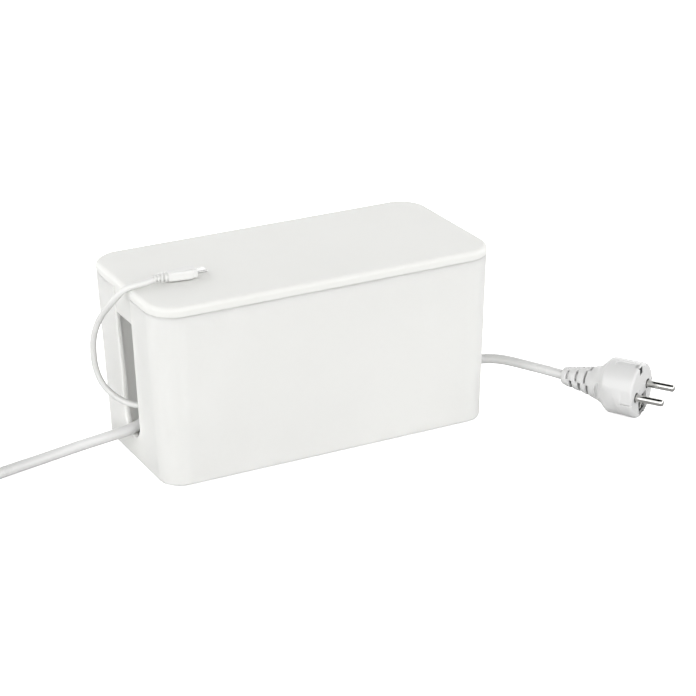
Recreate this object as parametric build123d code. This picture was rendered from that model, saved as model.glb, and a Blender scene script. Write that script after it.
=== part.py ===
from build123d import *
import math
import os

os.makedirs("parts", exist_ok=True)

# ---------------------------------------------------------------- driving sizes
# millimetres; X along the length, -Y the front, +Z up, origin on the floor under
# the middle of the box
LENGTH = 235.0          # over the lid
DEPTH = 115.0
HEIGHT = 120.0
INSET = 4.25            # the walls lean in by this much at the floor
CORNER_R = 19.5         # vertical corners, at the top
WALL = 2.4
FLOOR_Z0 = 0.6          # underside of the tray, above the floor on its feet
FLOOR_Z1 = 3.0          # top of the tray's floor
SEAM_Z = 113.6          # top rim of the tray
SEAM_GAP = 0.16
LID_EDGE_R = 3.0
LID_PLATE = 2.4
RIM_T = 3.7             # wall thickness round each cable slot
SLOT_W_TOP = 13.2       # half widths of the slot
SLOT_W_LOW = 11.4
SLOT_LOW_Z = 28.0
SLOT_FOOT_Z = 16.4      # lowest point of the slot
TONGUE_Z = 96.7         # lower end of the lid's tongue
TONGUE_BACK = 0.6       # tongue's face behind the outer face
TONGUE_T = 2.8
FOOT_R = 5.0
FOOT_H = 2.0

MAINS_D = 6.6           # lead of the socket strip
APPL_D = 7.2            # lead of the appliance
USB_D = 3.4             # charging lead

STRIP_X0, STRIP_X1 = -104.0, 26.0
STRIP_Y0, STRIP_Y1 = -49.4, -0.6
STRIP_SPLIT = 14.0
STRIP_TOP = 42.0
STRIP_WALL = 2.0
WELL_R = 19.8
WELL_DEPTH = 17.5
WELLS = (-45.0, -1.0)   # x of the two socket wells
STRIP_Y = -25.0
PORT_X = -86.0          # charging port


# ---------------------------------------------------------------- helpers
def lean(z):
    return INSET * (1 - z / HEIGHT)


def outline(z, inset):
    d = lean(z) + inset
    return Plane.XY.offset(z) * RectangleRounded(
        LENGTH - 2 * d, DEPTH - 2 * d, max(CORNER_R - d, 2.0)
    )


def block(z0, z1, inset):
    """Solid between two heights, inset from the outer faces of the box."""
    return loft([outline(z0, inset).face(), outline(z1, inset).face()], ruled=True)


def at(x, y, z):
    return Pos(x, y, z)


def save(node, shape):
    shape = Compound(children=list(shape.solids())) if len(shape.solids()) > 1 else shape.solids()[0]
    export_step(shape, f"parts/{node}.step")
    return shape


def cord_radii(pts):
    v = [Vector(*p) for p in pts]
    out = []
    for a, b, c in zip(v, v[1:], v[2:]):
        turn = math.radians((b - a).get_angle(c - b))
        out.append(0.45 * min((b - a).length, (c - b).length) / math.tan(turn / 2))
    return out


def cord(name, pts, dia):
    """Round tube along straight runs joined by tangent arcs."""
    radii = cord_radii(pts)
    path = FilletPolyline(*pts, radius=radii) if len(pts) > 2 else Line(*pts)
    tube = sweep(Plane(origin=path @ 0, z_dir=path % 0) * Circle(dia / 2), path=path)
    area = math.pi * dia * dia / 4
    runs = [(Vector(*b) - Vector(*a)).length for a, b in zip(pts, pts[1:])]
    print(
        f"{name}: length {path.length:.1f} volume ratio {tube.volume / (area * path.length):.4f} "
        f"least radius {min(radii) / dia:.1f} dia; radii", [round(r) for r in radii],
        "runs", [round(r) for r in runs],
    )
    return tube


def ring_section(cx, cy, r, z0, z1, angle, w, h, t, wide):
    """Strap round the section of a coil: a flat band standing across the ring."""
    ang = math.radians(angle)
    x, y = cx + r * math.cos(ang), cy + r * math.sin(ang)
    outer = Box(w + 2 * t, wide, h + 2 * t)
    inner = Box(w, wide + 2, h)
    return at(x, y, (z0 + z1) / 2) * Rot(0, 0, angle) * (outer - inner)


# ---------------------------------------------------------------- tray
outer = block(FLOOR_Z0, SEAM_Z, 0)
bottom_edges = outer.edges().group_by(Axis.Z)[0]
outer = fillet(bottom_edges, 1.2)
tray = outer - block(FLOOR_Z1, SEAM_Z + 1, WALL)
# thick pads that carry the rim of each cable slot
pads = (block(FLOOR_Z1 - 1, SEAM_Z, 1.0) - block(FLOOR_Z1 - 1.5, SEAM_Z + 1, RIM_T)) & (
    at(0, 0, 60) * Box(260, 37, 140)
)
tray = tray + pads
# cable slots, open at the top, round at the foot
slot_profile = Plane.YZ * make_face(
    Polyline((-SLOT_W_LOW, SLOT_LOW_Z), (-SLOT_W_TOP, SEAM_Z + 2), (SLOT_W_TOP, SEAM_Z + 2), (SLOT_W_LOW, SLOT_LOW_Z)).edges()
    + ThreePointArc((SLOT_W_LOW, SLOT_LOW_Z), (0, SLOT_FOOT_Z), (-SLOT_W_LOW, SLOT_LOW_Z)).edges()
)
tray = tray - extrude(slot_profile, 140, both=True)
# soften the outer edges of the slots
slot_edges = [
    e
    for e in tray.edges()
    if abs(e.center().X) > LENGTH / 2 - lean(e.center().Z) - 0.4
    and abs(e.center().Y) < SLOT_W_TOP + 0.2
    and 14 < e.center().Z < SEAM_Z - 2
]
tray = fillet(slot_edges, 0.9)
# pockets for the four feet
FEET = {
    "foot_front_left": (-92, -38),
    "foot_front_right": (92, -38),
    "foot_rear_left": (-92, 38),
    "foot_rear_right": (92, 38),
}
for x, y in FEET.values():
    tray = tray - at(x, y, (FLOOR_Z0 + FOOT_H) / 2) * Cylinder(FOOT_R, FOOT_H - FLOOR_Z0)
box_body = save("box_body", tray)

for node, (x, y) in FEET.items():
    pad = at(x, y, FOOT_H / 2) * Cylinder(FOOT_R, FOOT_H)
    pad = chamfer(pad.edges().group_by(Axis.Z)[0], 0.35)
    save(node, pad)

# ---------------------------------------------------------------- lid
lid_z = SEAM_Z + SEAM_GAP
lid = block(lid_z, HEIGHT, 0)
lid = fillet(lid.edges().group_by(Axis.Z)[-1], LID_EDGE_R)
lid = lid - block(lid_z - 1, HEIGHT - LID_PLATE, WALL)
# locating ring inside the tray's rim, left out where the slot pads stand
ring = block(109.5, HEIGHT - LID_PLATE + 0.5, WALL + 0.4) - block(108.5, HEIGHT, WALL + 0.4 + 1.6)
ring = ring - (at(0, 0, 110) * Box(260, 38.5, 40))
lid = lid + ring
# stiffening ribs under the plate
for x in (-60, 0, 60):
    lid = lid + at(x, 0, HEIGHT - LID_PLATE - 1.5) * Box(1.6, 90, 3.2)
lid = lid + at(0, 0, HEIGHT - LID_PLATE - 1.5) * Box(200, 1.6, 3.2)
# tongues that close the top of the slots
tongue_profile = Plane.YZ * make_face(
    Polyline(
        (-12.35, TONGUE_Z), (-12.75, SEAM_Z + 3), (12.75, SEAM_Z + 3), (12.35, TONGUE_Z), close=True
    ).edges()
)
tongue = (block(TONGUE_Z - 1, HEIGHT - 2.4, TONGUE_BACK) - block(TONGUE_Z - 2, HEIGHT, TONGUE_BACK + TONGUE_T)) & extrude(
    tongue_profile, 140, both=True
)
lid = lid + tongue
save("lid", lid)

# ---------------------------------------------------------------- socket strip
sx, sy = STRIP_X1 - STRIP_X0, STRIP_Y1 - STRIP_Y0
scx = (STRIP_X0 + STRIP_X1) / 2


def strip_block(z0, z1, inset, r):
    return at(scx, STRIP_Y, 0) * extrude(
        Plane.XY.offset(z0) * RectangleRounded(sx - 2 * inset, sy - 2 * inset, r), z1 - z0
    )


GLAND_R = 5.0
gland_hole = at(STRIP_X1, STRIP_Y, STRIP_SPLIT) * Rot(0, 90, 0) * Cylinder(GLAND_R, 12)
base = strip_block(FLOOR_Z1, STRIP_SPLIT, 0, 5)
base = chamfer(base.edges().group_by(Axis.Z)[0], 0.8)
base = base - strip_block(FLOOR_Z1 + 2, STRIP_SPLIT + 1, STRIP_WALL, 3) - gland_hole
SCREWS = [(-99.5, -44.8), (-99.5, -5.2), (21.5, -44.8), (21.5, -5.2)]
for x, y in SCREWS:
    base = base + at(x, y, 8.6) * Cylinder(3.4, 10.6) - at(x, y, 8) * Cylinder(1.7, 14)
    base = base - at(x, y, 4.0) * Cylinder(2.8, 2.2)
# low ribs that hold the bus bars apart
for x in (-70, -22, 14):
    base = base + at(x, STRIP_Y, 6.4) * Box(2, 36, 3.2)
save("strip_base", base)

cover = strip_block(STRIP_SPLIT, STRIP_TOP, 0, 5)
cover = fillet(cover.edges().group_by(Axis.Z)[-1], 2.0)
cover = cover - strip_block(STRIP_SPLIT - 1, STRIP_TOP - 2, STRIP_WALL, 3)
well_z = STRIP_TOP - WELL_DEPTH
for x in WELLS:
    cover = cover + at(x, STRIP_Y, (well_z - 2 + STRIP_TOP - 1) / 2) * Cylinder(WELL_R + 1.8, STRIP_TOP - 1 - well_z + 2)
cover = cover & strip_block(STRIP_SPLIT, STRIP_TOP, 0, 5)
for x, y in SCREWS:
    cover = cover + at(x, y, (STRIP_SPLIT + STRIP_TOP - 1.5) / 2) * Cylinder(3.4, STRIP_TOP - 1.5 - STRIP_SPLIT)
for x in WELLS:
    cover = cover - at(x, STRIP_Y, well_z + WELL_DEPTH / 2 + 1) * Cylinder(WELL_R, WELL_DEPTH + 2)
    turned = at(x, STRIP_Y, 0) * Rot(0, 0, 45)
    for side in (-1, 1):
        # pin holes, contact slots and the two guide ribs of the well
        cover = cover - turned * at(side * 9.5, 0, well_z - 1) * Cylinder(2.7, 6)
        cover = cover - turned * at(0, side * 20.0, (well_z + 39) / 2 - 1.5) * Box(7.0, 2.4, 39 - well_z + 3)
        cover = cover + (turned * at(side * (WELL_R - 0.8), 0, well_z + 7) * Box(2.4, 4.6, 14))
for x, y in SCREWS:
    cover = cover - at(x, y, STRIP_SPLIT + 6) * Cylinder(1.3, 12.2)
cover = cover - gland_hole
cover = cover - at(PORT_X, STRIP_Y, STRIP_TOP) * Box(6.4, 14.0, 10)
save("strip_cover", cover)

screws = Compound(
    children=[
        (at(x, y, 3.9) * Cylinder(2.7, 1.8) + at(x, y, 11.4) * Cylinder(1.3, 13.4)).solids()[0]
        for x, y in SCREWS
    ]
)
save("strip_screws", screws)

# bus bars, pin sleeves and earth contacts under the wells
bar_z = 9.0
sleeve_r, sleeve_h = 3.6, 12.4


def sleeves(side):
    out = []
    for x in WELLS:
        d = 9.5 * side * math.cos(math.radians(45))
        out.append((x + d, STRIP_Y + d))
    return out


def bus_bar(side, y_bar):
    bar = at((STRIP_X0 + 30 + 16) / 2, y_bar, bar_z) * Box(90, 3.0, 1.6)
    for x, y in sleeves(side):
        bar = bar + at(x, (y + y_bar) / 2, bar_z) * Box(3.0, abs(y - y_bar) + 3.0, 1.6)
        bar = bar + at(x, y, bar_z + sleeve_h / 2 - 0.8) * Cylinder(sleeve_r, sleeve_h)
        bar = bar - at(x, y, bar_z + sleeve_h / 2 - 0.8) * Cylinder(2.45, sleeve_h + 2)
    return bar


save("live_bus_bar", bus_bar(-1, STRIP_Y - 15.5))
save("neutral_bus_bar", bus_bar(1, STRIP_Y + 15.5))

earth = at((WELLS[0] + WELLS[1]) / 2, STRIP_Y, 12.6) * Box(62, 3.4, 0.9)
for x in WELLS:
    turned = at(x, STRIP_Y, 0) * Rot(0, 0, 45)
    earth = earth + turned * at(0, 0, 12.6) * Box(5.0, 41.2, 0.9)
    for side in (-1, 1):
        earth = earth + turned * at(0, side * 20.2, 25) * Box(5.0, 0.8, 25.6)
save("earth_bus_bar", earth)

# short conductors from the end of the lead to the bars
wires = []
for side in (-1, 1):
    wire_path = Spline(
        (STRIP_X1 - 4.7, STRIP_Y + side * 1.6, 14.0),
        (STRIP_X1 - 8.5, STRIP_Y + side * 6.0, 13.2),
        (STRIP_X1 - 12.0, STRIP_Y + side * 15.5, 10.9),
        tangents=[Vector(-1, 0, 0), Vector(-0.4, side, -0.3)],
    )
    wires.append(
        sweep(Plane(origin=wire_path @ 0, z_dir=wire_path % 0) * Circle(0.9), path=wire_path).solids()[0]
    )
earth_path = Line((STRIP_X1 - 4.7, STRIP_Y, 15.6), (STRIP_X1 - 14.0, STRIP_Y, 14.1))
wires.append(
    sweep(Plane(origin=earth_path @ 0, z_dir=earth_path % 0) * Circle(0.9), path=earth_path).solids()[0]
)
save("strip_wires", Compound(children=wires))

# charging board and its port
board = at(PORT_X, STRIP_Y, 24.0) * Box(24, 31, 1.6)
board = board + at(PORT_X - 7, STRIP_Y + 10.5, 28.5) * Box(8, 8, 7.6)
board = board + at(PORT_X + 7, STRIP_Y - 10.5, 27.5) * Cylinder(4, 5.6)
save("usb_board", board)
port = at(PORT_X, STRIP_Y, 33.0) * (Box(5.9, 13.6, 16.4) - at(0, 0, 1.2) * Box(5.1, 12.8, 16.4))
port = port + at(PORT_X - 1.3, STRIP_Y, 31.5) * Box(1.4, 11.0, 11.4)
save("usb_port", port)

# gland and tapered strain relief of the strip's own lead
GLAND_END = STRIP_X1 + 22.0
gland_profile = Plane.XZ * make_face(
    Polyline(
        (STRIP_X1 - 4.5, MAINS_D / 2),
        (STRIP_X1 - 4.5, 6.6),
        (STRIP_X1 - 2.1, 6.6),
        (STRIP_X1 - 2.1, GLAND_R),
        (STRIP_X1 + 0.1, GLAND_R),
        (STRIP_X1 + 0.1, 6.4),
        (STRIP_X1 + 2.5, 6.2),
        (GLAND_END, 4.5),
        (GLAND_END, MAINS_D / 2),
        close=True,
    ).edges()
)
gland = revolve(gland_profile, Axis.X)
save("strip_gland", at(0, STRIP_Y, STRIP_SPLIT) * gland)

# ---------------------------------------------------------------- the strip's own lead
HANK_X, HANK_Y = -8.5, 26.1
HANK_RUN, HANK_BEND = 97.5, 20.5
HANK_Z0, HANK_Z1 = 4.0, 30.9
hank_plan = Plane.XY.offset(HANK_Z0) * SlotCenterToCenter(HANK_RUN, 2 * (HANK_BEND + MAINS_D / 2))
hank = at(HANK_X, HANK_Y, 0) * extrude(hank_plan, HANK_Z1 - HANK_Z0)
hank = fillet(hank.edges().group_by(Axis.Z)[0] + hank.edges().group_by(Axis.Z)[-1], 2.5)
save("mains_lead_hank", hank)

mains_inner_pts = [
    (STRIP_X1 - 4.5, STRIP_Y, 14.0),
    (36.0, STRIP_Y, 14.0),
    (56.0, STRIP_Y, 13.8),
    (73.0, -23.6, 13.2),
    (87.5, -14.4, 12.0),
    (94.6, 0.6, 10.4),
    (94.6, 17.2, 9.0),
    (87.6, 33.0, 8.0),
    (74.5, 43.6, 7.5),
    (60.0, 46.4, 7.5),
    (44.0, 45.2, 8.0),
]
mains_inner = cord("mains_lead_inner", mains_inner_pts, MAINS_D) - hank
save("mains_lead_inner", mains_inner)

# plug frame: z out of the face along the pins, x along the line of the pins
PLUG_R = 18.5
PLUG_AXIS = Vector(math.cos(math.radians(-56.7)), math.sin(math.radians(-56.7)), 0)
PLUG_ROLL = 9.6
level = Vector(-PLUG_AXIS.Y, PLUG_AXIS.X, 0)
pin_dir = level * math.cos(math.radians(PLUG_ROLL)) + Vector(0, 0, 1) * math.sin(math.radians(PLUG_ROLL))
PLUG_FACE = Vector(202.5, -99.6, 18.65)
plug_frame = Plane(origin=PLUG_FACE, x_dir=pin_dir, z_dir=PLUG_AXIS)
PLUG_TAIL = 56.0
tail = PLUG_FACE - PLUG_AXIS * PLUG_TAIL
tail_pt = (tail.X, tail.Y, tail.Z)


mains_outer_pts = [
    (36.0, 5.8, 28.7),
    (50.0, 6.0, 29.7),
    (66.0, 6.2, 28.4),
    (81.5, 5.0, 24.8),
    (97.0, 2.9, 21.8),
    (111.5, 0.6, 20.4),
    (128.1, -3.4, 20.3),
    (144.5, -12.2, 20.6),
    (157.4, -31.0, 18.4),
    (165.2, -42.8, 18.65),
    tail_pt,
]
mains_outer = cord("mains_lead", mains_outer_pts, MAINS_D) - hank
save("mains_lead", mains_outer)

tie = at(HANK_X + 6, HANK_Y, (HANK_Z0 + HANK_Z1) / 2) * (
    Box(11, 2 * (HANK_BEND + MAINS_D / 2) + 1.6, HANK_Z1 - HANK_Z0 + 1.6)
    - Box(13, 2 * (HANK_BEND + MAINS_D / 2), HANK_Z1 - HANK_Z0)
)
save("hank_tie", tie)

# ---------------------------------------------------------------- mains plug
plug_profile = make_face(
    Polyline(
        (0, 0), (PLUG_R - 0.8, 0), (PLUG_R, -0.8), (PLUG_R, -20.5), (PLUG_R - 1.2, -21.7), (11.6, -27.4),
        (10.0, -34.0), (8.9, -38.0), (5.8, -PLUG_TAIL), (0, -PLUG_TAIL), close=True
    ).edges()
)
plug = revolve(Plane.XZ * plug_profile, Axis.Z)
# two channels for the earth contacts, and three grooves round the tapered tail
for side in (-1, 1):
    plug = plug - at(0, side * (PLUG_R - 1.2), -9.5) * Box(8.4, 4.4, 19.4)
    plug = plug - at(side * 9.5, 0, -5) * Cylinder(2.4, 10.2)
for z in (-41.5, -46.2, -50.9):
    for side in (-1, 1):
        plug = plug - at(side * 8.0, 0, z) * Box(9.0, 24, 1.6) - at(0, side * 12.0, z) * Box(12, 13.5, 1.6)
plug = plug + at(0, 0, -47) * Cylinder(4.6, 17.0)
save("mains_plug_body", plug_frame.location * plug)

pins = []
for side in (-1, 1):
    pin = at(side * 9.5, 0, 4.4) * Cylinder(2.4, 29.0)
    pin = fillet(pin.edges().group_by(Axis.Z)[-1], 1.6)
    pins.append((plug_frame.location * pin).solids()[0])
save("mains_plug_pins", Compound(children=pins))

clips = []
for side in (-1, 1):
    clip = at(0, side * (PLUG_R - 2.6), -9.8) * Box(6.0, 0.9, 18.4)
    clip = clip + at(0, side * (PLUG_R - 1.9), -8) * Box(6.0, 1.6, 7.0)
    clips.append((plug_frame.location * clip).solids()[0])
save("mains_plug_earth_clips", Compound(children=clips))

# ---------------------------------------------------------------- appliance plug in the right well
AP_X = WELLS[1]
ap = at(AP_X, STRIP_Y, 0)
seat = well_z + 0.2
ap_body = Pos(0, 0, (seat + 44.0) / 2) * Cylinder(18.7, 44.0 - seat)
ap_body = ap_body + Pos(0, 0, 51.0) * Cylinder(19.6, 14.0)
ap_body = fillet(ap_body.edges().group_by(Axis.Z)[-1], 4.0)
for side in (-1, 1):
    turned = Rot(0, 0, 45)
    ap_body = ap_body - turned * Pos(side * 18.4, 0, (seat + 42) / 2 - 0.5) * Box(3.6, 5.4, 42 - seat + 1)
    ap_body = ap_body - turned * Pos(0, side * 18.6, (seat + 41) / 2 - 0.5) * Box(7.4, 2.6, 41 - seat + 1)
    ap_body = ap_body - turned * Pos(side * 9.5, 0, seat + 4.5) * Cylinder(2.4, 9.2)
AP_TAIL = 37.5
neck = make_face(
    Polyline((0, 12), (8.2, 12), (7.6, 22), (5.4, AP_TAIL), (0, AP_TAIL), close=True).edges()
)
neck = revolve(Plane.XZ * neck, Axis.Z)          # axis up, then laid towards the back left
neck = Pos(0, 0, 51.0) * Rot(0, 0, 45) * Rot(-90, 0, 0) * neck
ap_body = ap_body + neck
save("appliance_plug_body", ap * ap_body)
ap_pins = []
for side in (-1, 1):
    pin = Rot(0, 0, 45) * Pos(side * 9.5, 0, seat - 19.0 + 14.0) * Cylinder(2.4, 28.0)
    pin = fillet(pin.edges().group_by(Axis.Z)[0], 1.6)
    ap_pins.append((ap * pin).solids()[0])
save("appliance_plug_pins", Compound(children=ap_pins))

# ---------------------------------------------------------------- appliance lead
ap_c = math.cos(math.radians(45))
ap_start = (AP_X - AP_TAIL * ap_c, STRIP_Y + AP_TAIL * ap_c, 51.0)
COIL_X, COIL_Y = -243.0, 45.5
COIL_IN, COIL_OUT = 31.3, 45.9
COIL_Z0, COIL_Z1 = 0.9, 24.8
coil = at(COIL_X, COIL_Y, (COIL_Z0 + COIL_Z1) / 2) * (
    Cylinder(COIL_OUT, COIL_Z1 - COIL_Z0) - Cylinder(COIL_IN, COIL_Z1)
)
coil = fillet(coil.edges().group_by(Axis.Z)[0] + coil.edges().group_by(Axis.Z)[-1], 2.6)
save("appliance_lead_coil", coil)

appliance_pts = [
    ap_start,
    (-36.5, 10.5, 51.0),
    (-47.0, 16.6, 50.6),
    (-59.0, 18.4, 48.0),
    (-71.5, 16.2, 42.6),
    (-84.0, 11.8, 34.6),
    (-97.3, 5.8, 25.0),
    (-112.2, 1.8, 20.5),
    (-130.6, 4.9, 16.9),
    (-148.8, 13.3, 10.6),
    (-167.7, 18.5, 5.2),
    (-187.1, 17.1, 3.7),
    (-206.0, 12.0, 3.7),
    (-224.0, 10.5, 4.0),
]
appliance = cord("appliance_lead", appliance_pts, APPL_D) - coil
save("appliance_lead", appliance)

end_pts = [
    (-265.5, 81.2, 4.6),
    (-254.5, 88.6, 5.0),
    (-243.8, 95.4, 6.6),
    (-233.0, 102.6, 8.6),
]
tail_end = cord("appliance_lead_tail", end_pts, APPL_D) - coil

conn_dir = Vector(*end_pts[-1]) - Vector(*end_pts[-2])
conn_dir = Vector(conn_dir.X, conn_dir.Y, 0).normalized()
conn_frame = Plane(origin=Vector(*end_pts[-1]), x_dir=Vector(-conn_dir.Y, conn_dir.X, 0), z_dir=conn_dir)
# the lead meets the tapered tail; the body is a flat-sided socket with two cut corners
conn = loft(
    [
        (Plane.XY.offset(0.0) * RectangleRounded(10.0, 10.0, 4.6)).face(),
        (Plane.XY.offset(20.0) * RectangleRounded(14.0, 13.0, 4.6)).face(),
    ],
    ruled=True,
)
section = make_face(
    Polyline(
        (-13.6, -8.0), (13.6, -8.0), (13.6, 3.0), (8.6, 8.0), (-8.6, 8.0), (-13.6, 3.0), close=True
    ).edges()
)
conn = conn + extrude(Plane.XY.offset(26.0) * section, 30.0)
conn = conn + loft(
    [
        (Plane.XY.offset(19.5) * Rectangle(13.0, 11.0)).face(),
        (Plane.XY.offset(26.5) * Rectangle(26.0, 15.0)).face(),
    ],
    ruled=True,
)
conn = conn - extrude(Plane.XY.offset(38.0) * section.scale(0.86), 20)
conn = conn + Pos(0, -0.6, 46.0) * Box(16.4, 8.4, 18.0)
for x, y in ((-5, 0.8), (5, 0.8), (0, -2.2)):
    conn = conn - Pos(x, y, 51.0) * Box(1.6, 3.2, 12.0)
conn = save("appliance_connector", conn_frame.location * conn)
save("appliance_lead_tail", tail_end - conn)

coil_tie = ring_section(
    COIL_X, COIL_Y, (COIL_IN + COIL_OUT) / 2, COIL_Z0, COIL_Z1, -160,
    COIL_OUT - COIL_IN + 0.4, COIL_Z1 - COIL_Z0, 0.8, 10.0,
)
save("appliance_coil_tie", coil_tie - coil)

# ---------------------------------------------------------------- charging lead
# plug standing in the port
usb_shell = at(PORT_X, STRIP_Y, 38.6) * (Box(4.5, 12.0, 11.0) - Pos(-1.0, 0, -1.6) * Box(1.8, 11.2, 9.0))
save("usb_plug_shell", usb_shell - (at(PORT_X - 1.3, STRIP_Y, 31.5) * Box(1.8, 11.4, 11.8)))
usb_body = at(PORT_X, STRIP_Y, 44.1) * extrude(RectangleRounded(8.0, 15.6, 2.2), 22.0)
usb_body = fillet(usb_body.edges().group_by(Axis.Z)[-1], 1.4)
usb_body = usb_body + at(PORT_X, STRIP_Y, 0) * loft(
    [
        (Plane.XY.offset(65.5) * Circle(3.2)).face(),
        (Plane.XY.offset(77.0) * Circle(2.3)).face(),
    ]
)
save("usb_plug_body", usb_body)

UC_X, UC_Y, UC_IN, UC_OUT = -38.0, 28.0, 14.4, 21.4
UC_Z0, UC_Z1 = 31.7, 43.4
usb_coil = at(UC_X, UC_Y, (UC_Z0 + UC_Z1) / 2) * (
    Cylinder(UC_OUT, UC_Z1 - UC_Z0) - Cylinder(UC_IN, UC_Z1)
)
usb_coil = fillet(usb_coil.edges().group_by(Axis.Z)[0] + usb_coil.edges().group_by(Axis.Z)[-1], 1.4)
save("usb_lead_coil", usb_coil)

usb_inner_pts = [
    (PORT_X, STRIP_Y, 77.0),
    (PORT_X + 0.6, STRIP_Y + 1.6, 86.5),
    (PORT_X + 4.5, STRIP_Y + 9.6, 93.6),
    (PORT_X + 10.6, STRIP_Y + 20.8, 93.4),
    (PORT_X + 17.0, STRIP_Y + 32.0, 86.4),
    (PORT_X + 22.5, STRIP_Y + 41.5, 75.4),
    (PORT_X + 26.0, STRIP_Y + 47.8, 63.8),
    (PORT_X + 27.8, STRIP_Y + 51.6, 53.4),
    (PORT_X + 30.0, STRIP_Y + 56.0, 45.8),
    (PORT_X + 33.6, STRIP_Y + 61.4, 42.4),
]
usb_inner = cord("usb_lead_inner", usb_inner_pts, USB_D) - usb_coil - usb_body
save("usb_lead_inner", usb_inner)

# out of the coil, through the slot and up the outside to the crest of its loop
usb_box_pts = [
    (-36.0, 8.6, 41.6),
    (-50.0, 8.2, 42.0),
    (-63.0, 4.6, 44.4),
    (-77.0, 0.4, 46.6),
    (-91.5, -4.7, 49.6),
    (-101.9, -8.6, 47.4),
    (-110.1, -9.6, 39.8),
    (-117.7, -3.5, 40.5),
    (-124.4, 2.7, 45.0),
    (-130.1, 7.5, 51.9),
    (-132.6, 9.9, 62.1),
    (-135.1, 10.3, 73.0),
]
usb_split = ((-135.1 - 134.2) / 2, (10.3 + 8.2) / 2, (73.0 + 84.0) / 2)
usb_box = cord("usb_lead", usb_box_pts + [usb_split], USB_D) - usb_coil
save("usb_lead", usb_box)

LID_TOP = HEIGHT
usb_lid_pts = [
    usb_split,
    (-134.2, 8.2, 84.0),
    (-131.0, 4.6, 95.2),
    (-128.6, -2.1, 106.1),
    (-126.6, -12.6, 115.7),
    (-117.4, -17.6, 122.6),
    (-108.0, -14.6, 124.0),
    (-101.0, -13.6, 124.0),
]
usb_lid = cord("usb_lead_end", usb_lid_pts, USB_D)

# small plug lying on the lid
MP_X = -101.0
mp_frame = Plane(origin=(MP_X, -13.6, 124.0), x_dir=(0, 1, 0), z_dir=(1, 0.0, 0))
mp = loft(
    [
        (Plane.XY.offset(0.0) * RectangleRounded(4.6, 4.6, 1.9)).face(),
        (Plane.XY.offset(9.0) * RectangleRounded(6.4, 5.6, 2.2)).face(),
    ],
    ruled=True,
)
mp = mp + extrude(Plane.XY.offset(9.0) * RectangleRounded(9.6, 7.4, 1.8), 21.5)
tip = extrude(Plane.XY.offset(22.0) * RectangleRounded(6.9, 1.9, 0.5), 14.6) - extrude(
    Plane.XY.offset(31.5) * RectangleRounded(6.1, 1.2, 0.3), 6
)
mp2 = mp_frame.location * (mp - extrude(Plane.XY.offset(22.0) * RectangleRounded(6.9, 1.9, 0.5), 14.6))
save("usb_lead_end", usb_lid - mp2)
save("micro_plug_body", mp2)
save("micro_plug_tip", mp_frame.location * tip)

usb_tie = ring_section(UC_X, UC_Y, (UC_IN + UC_OUT) / 2, UC_Z0, UC_Z1, 60, UC_OUT - UC_IN + 0.4, UC_Z1 - UC_Z0, 0.7, 5.0)
save("usb_coil_tie", usb_tie - usb_coil)
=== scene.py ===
import math

import bpy
import numpy as np
from mathutils import Matrix, Vector


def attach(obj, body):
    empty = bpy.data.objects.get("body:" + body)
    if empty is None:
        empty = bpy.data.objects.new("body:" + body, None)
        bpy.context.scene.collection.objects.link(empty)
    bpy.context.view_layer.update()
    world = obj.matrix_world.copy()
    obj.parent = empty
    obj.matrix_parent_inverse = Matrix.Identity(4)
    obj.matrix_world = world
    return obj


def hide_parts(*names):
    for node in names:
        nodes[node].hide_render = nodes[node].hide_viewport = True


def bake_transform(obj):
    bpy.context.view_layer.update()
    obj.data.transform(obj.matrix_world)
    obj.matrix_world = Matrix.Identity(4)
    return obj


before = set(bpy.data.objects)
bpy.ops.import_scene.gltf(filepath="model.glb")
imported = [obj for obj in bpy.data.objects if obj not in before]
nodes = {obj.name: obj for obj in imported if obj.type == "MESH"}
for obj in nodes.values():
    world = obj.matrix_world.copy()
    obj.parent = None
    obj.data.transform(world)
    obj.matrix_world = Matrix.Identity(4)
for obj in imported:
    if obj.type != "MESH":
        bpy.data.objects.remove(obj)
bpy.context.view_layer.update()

MM = 0.001
scene = bpy.context.scene
top = scene.collection

# ---------------------------------------------------------------- camera
RIGHT = Vector((0.8900179, -0.4557067, -0.0141236))
UP = Vector((0.1846558, 0.3319726, 0.9250386))
BACK = Vector((-0.4168577, -0.8259089, 0.3796105))
cam_data = bpy.data.cameras.new("camera")
cam_data.sensor_width = 36.0
cam_data.lens = 117.945
cam_data.clip_start = 0.05
cam_data.clip_end = 60.0
cam = bpy.data.objects.new("camera", cam_data)
m = Matrix((RIGHT, UP, BACK)).transposed().to_4x4()
m.translation = Vector((-0.5832106, -1.231645, 0.6118255))
cam.matrix_world = m
top.objects.link(cam)
scene.camera = cam
scene.view_settings.view_transform = "Standard"

# ---------------------------------------------------------------- sizes, in millimetres
LENGTH, DEPTH, HEIGHT, INSET = 235.0, 115.0, 120.0, 4.25
MAINS_D, APPL_D, USB_D = 6.6, 7.2, 4.0
STRIP_X1, STRIP_Y = 26.0, -25.0
PORT_X = -86.0
AP_X, WELL_Z = -1.0, 24.5
HANK_X, HANK_Y, HANK_RUN, HANK_BEND = -8.5, 26.1, 97.5, 20.5
HANK_Z, HANK_PITCH = 7.3, 6.75
COIL_X, COIL_Y, COIL_IN, COIL_OUT = -243.0, 45.5, 34.9, 42.3
UC_X, UC_Y, UC_IN, UC_OUT = -38.0, 28.0, 15.9, 19.95
PLUG_AXIS = Vector((math.cos(math.radians(-56.7)), math.sin(math.radians(-56.7)), 0.0))
PLUG_FACE = Vector((202.5, -99.6, 18.65))
PLUG_TAIL = 56.0
PLUG_ROLL = math.radians(9.6)


# ---------------------------------------------------------------- materials
def material(name):
    mat = bpy.data.materials.new(name)
    mat.use_nodes = True
    nt = mat.node_tree
    bsdf = nt.nodes["Principled BSDF"]
    return mat, nt, bsdf


def link(nt, a, b):
    nt.links.new(a, b)


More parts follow.
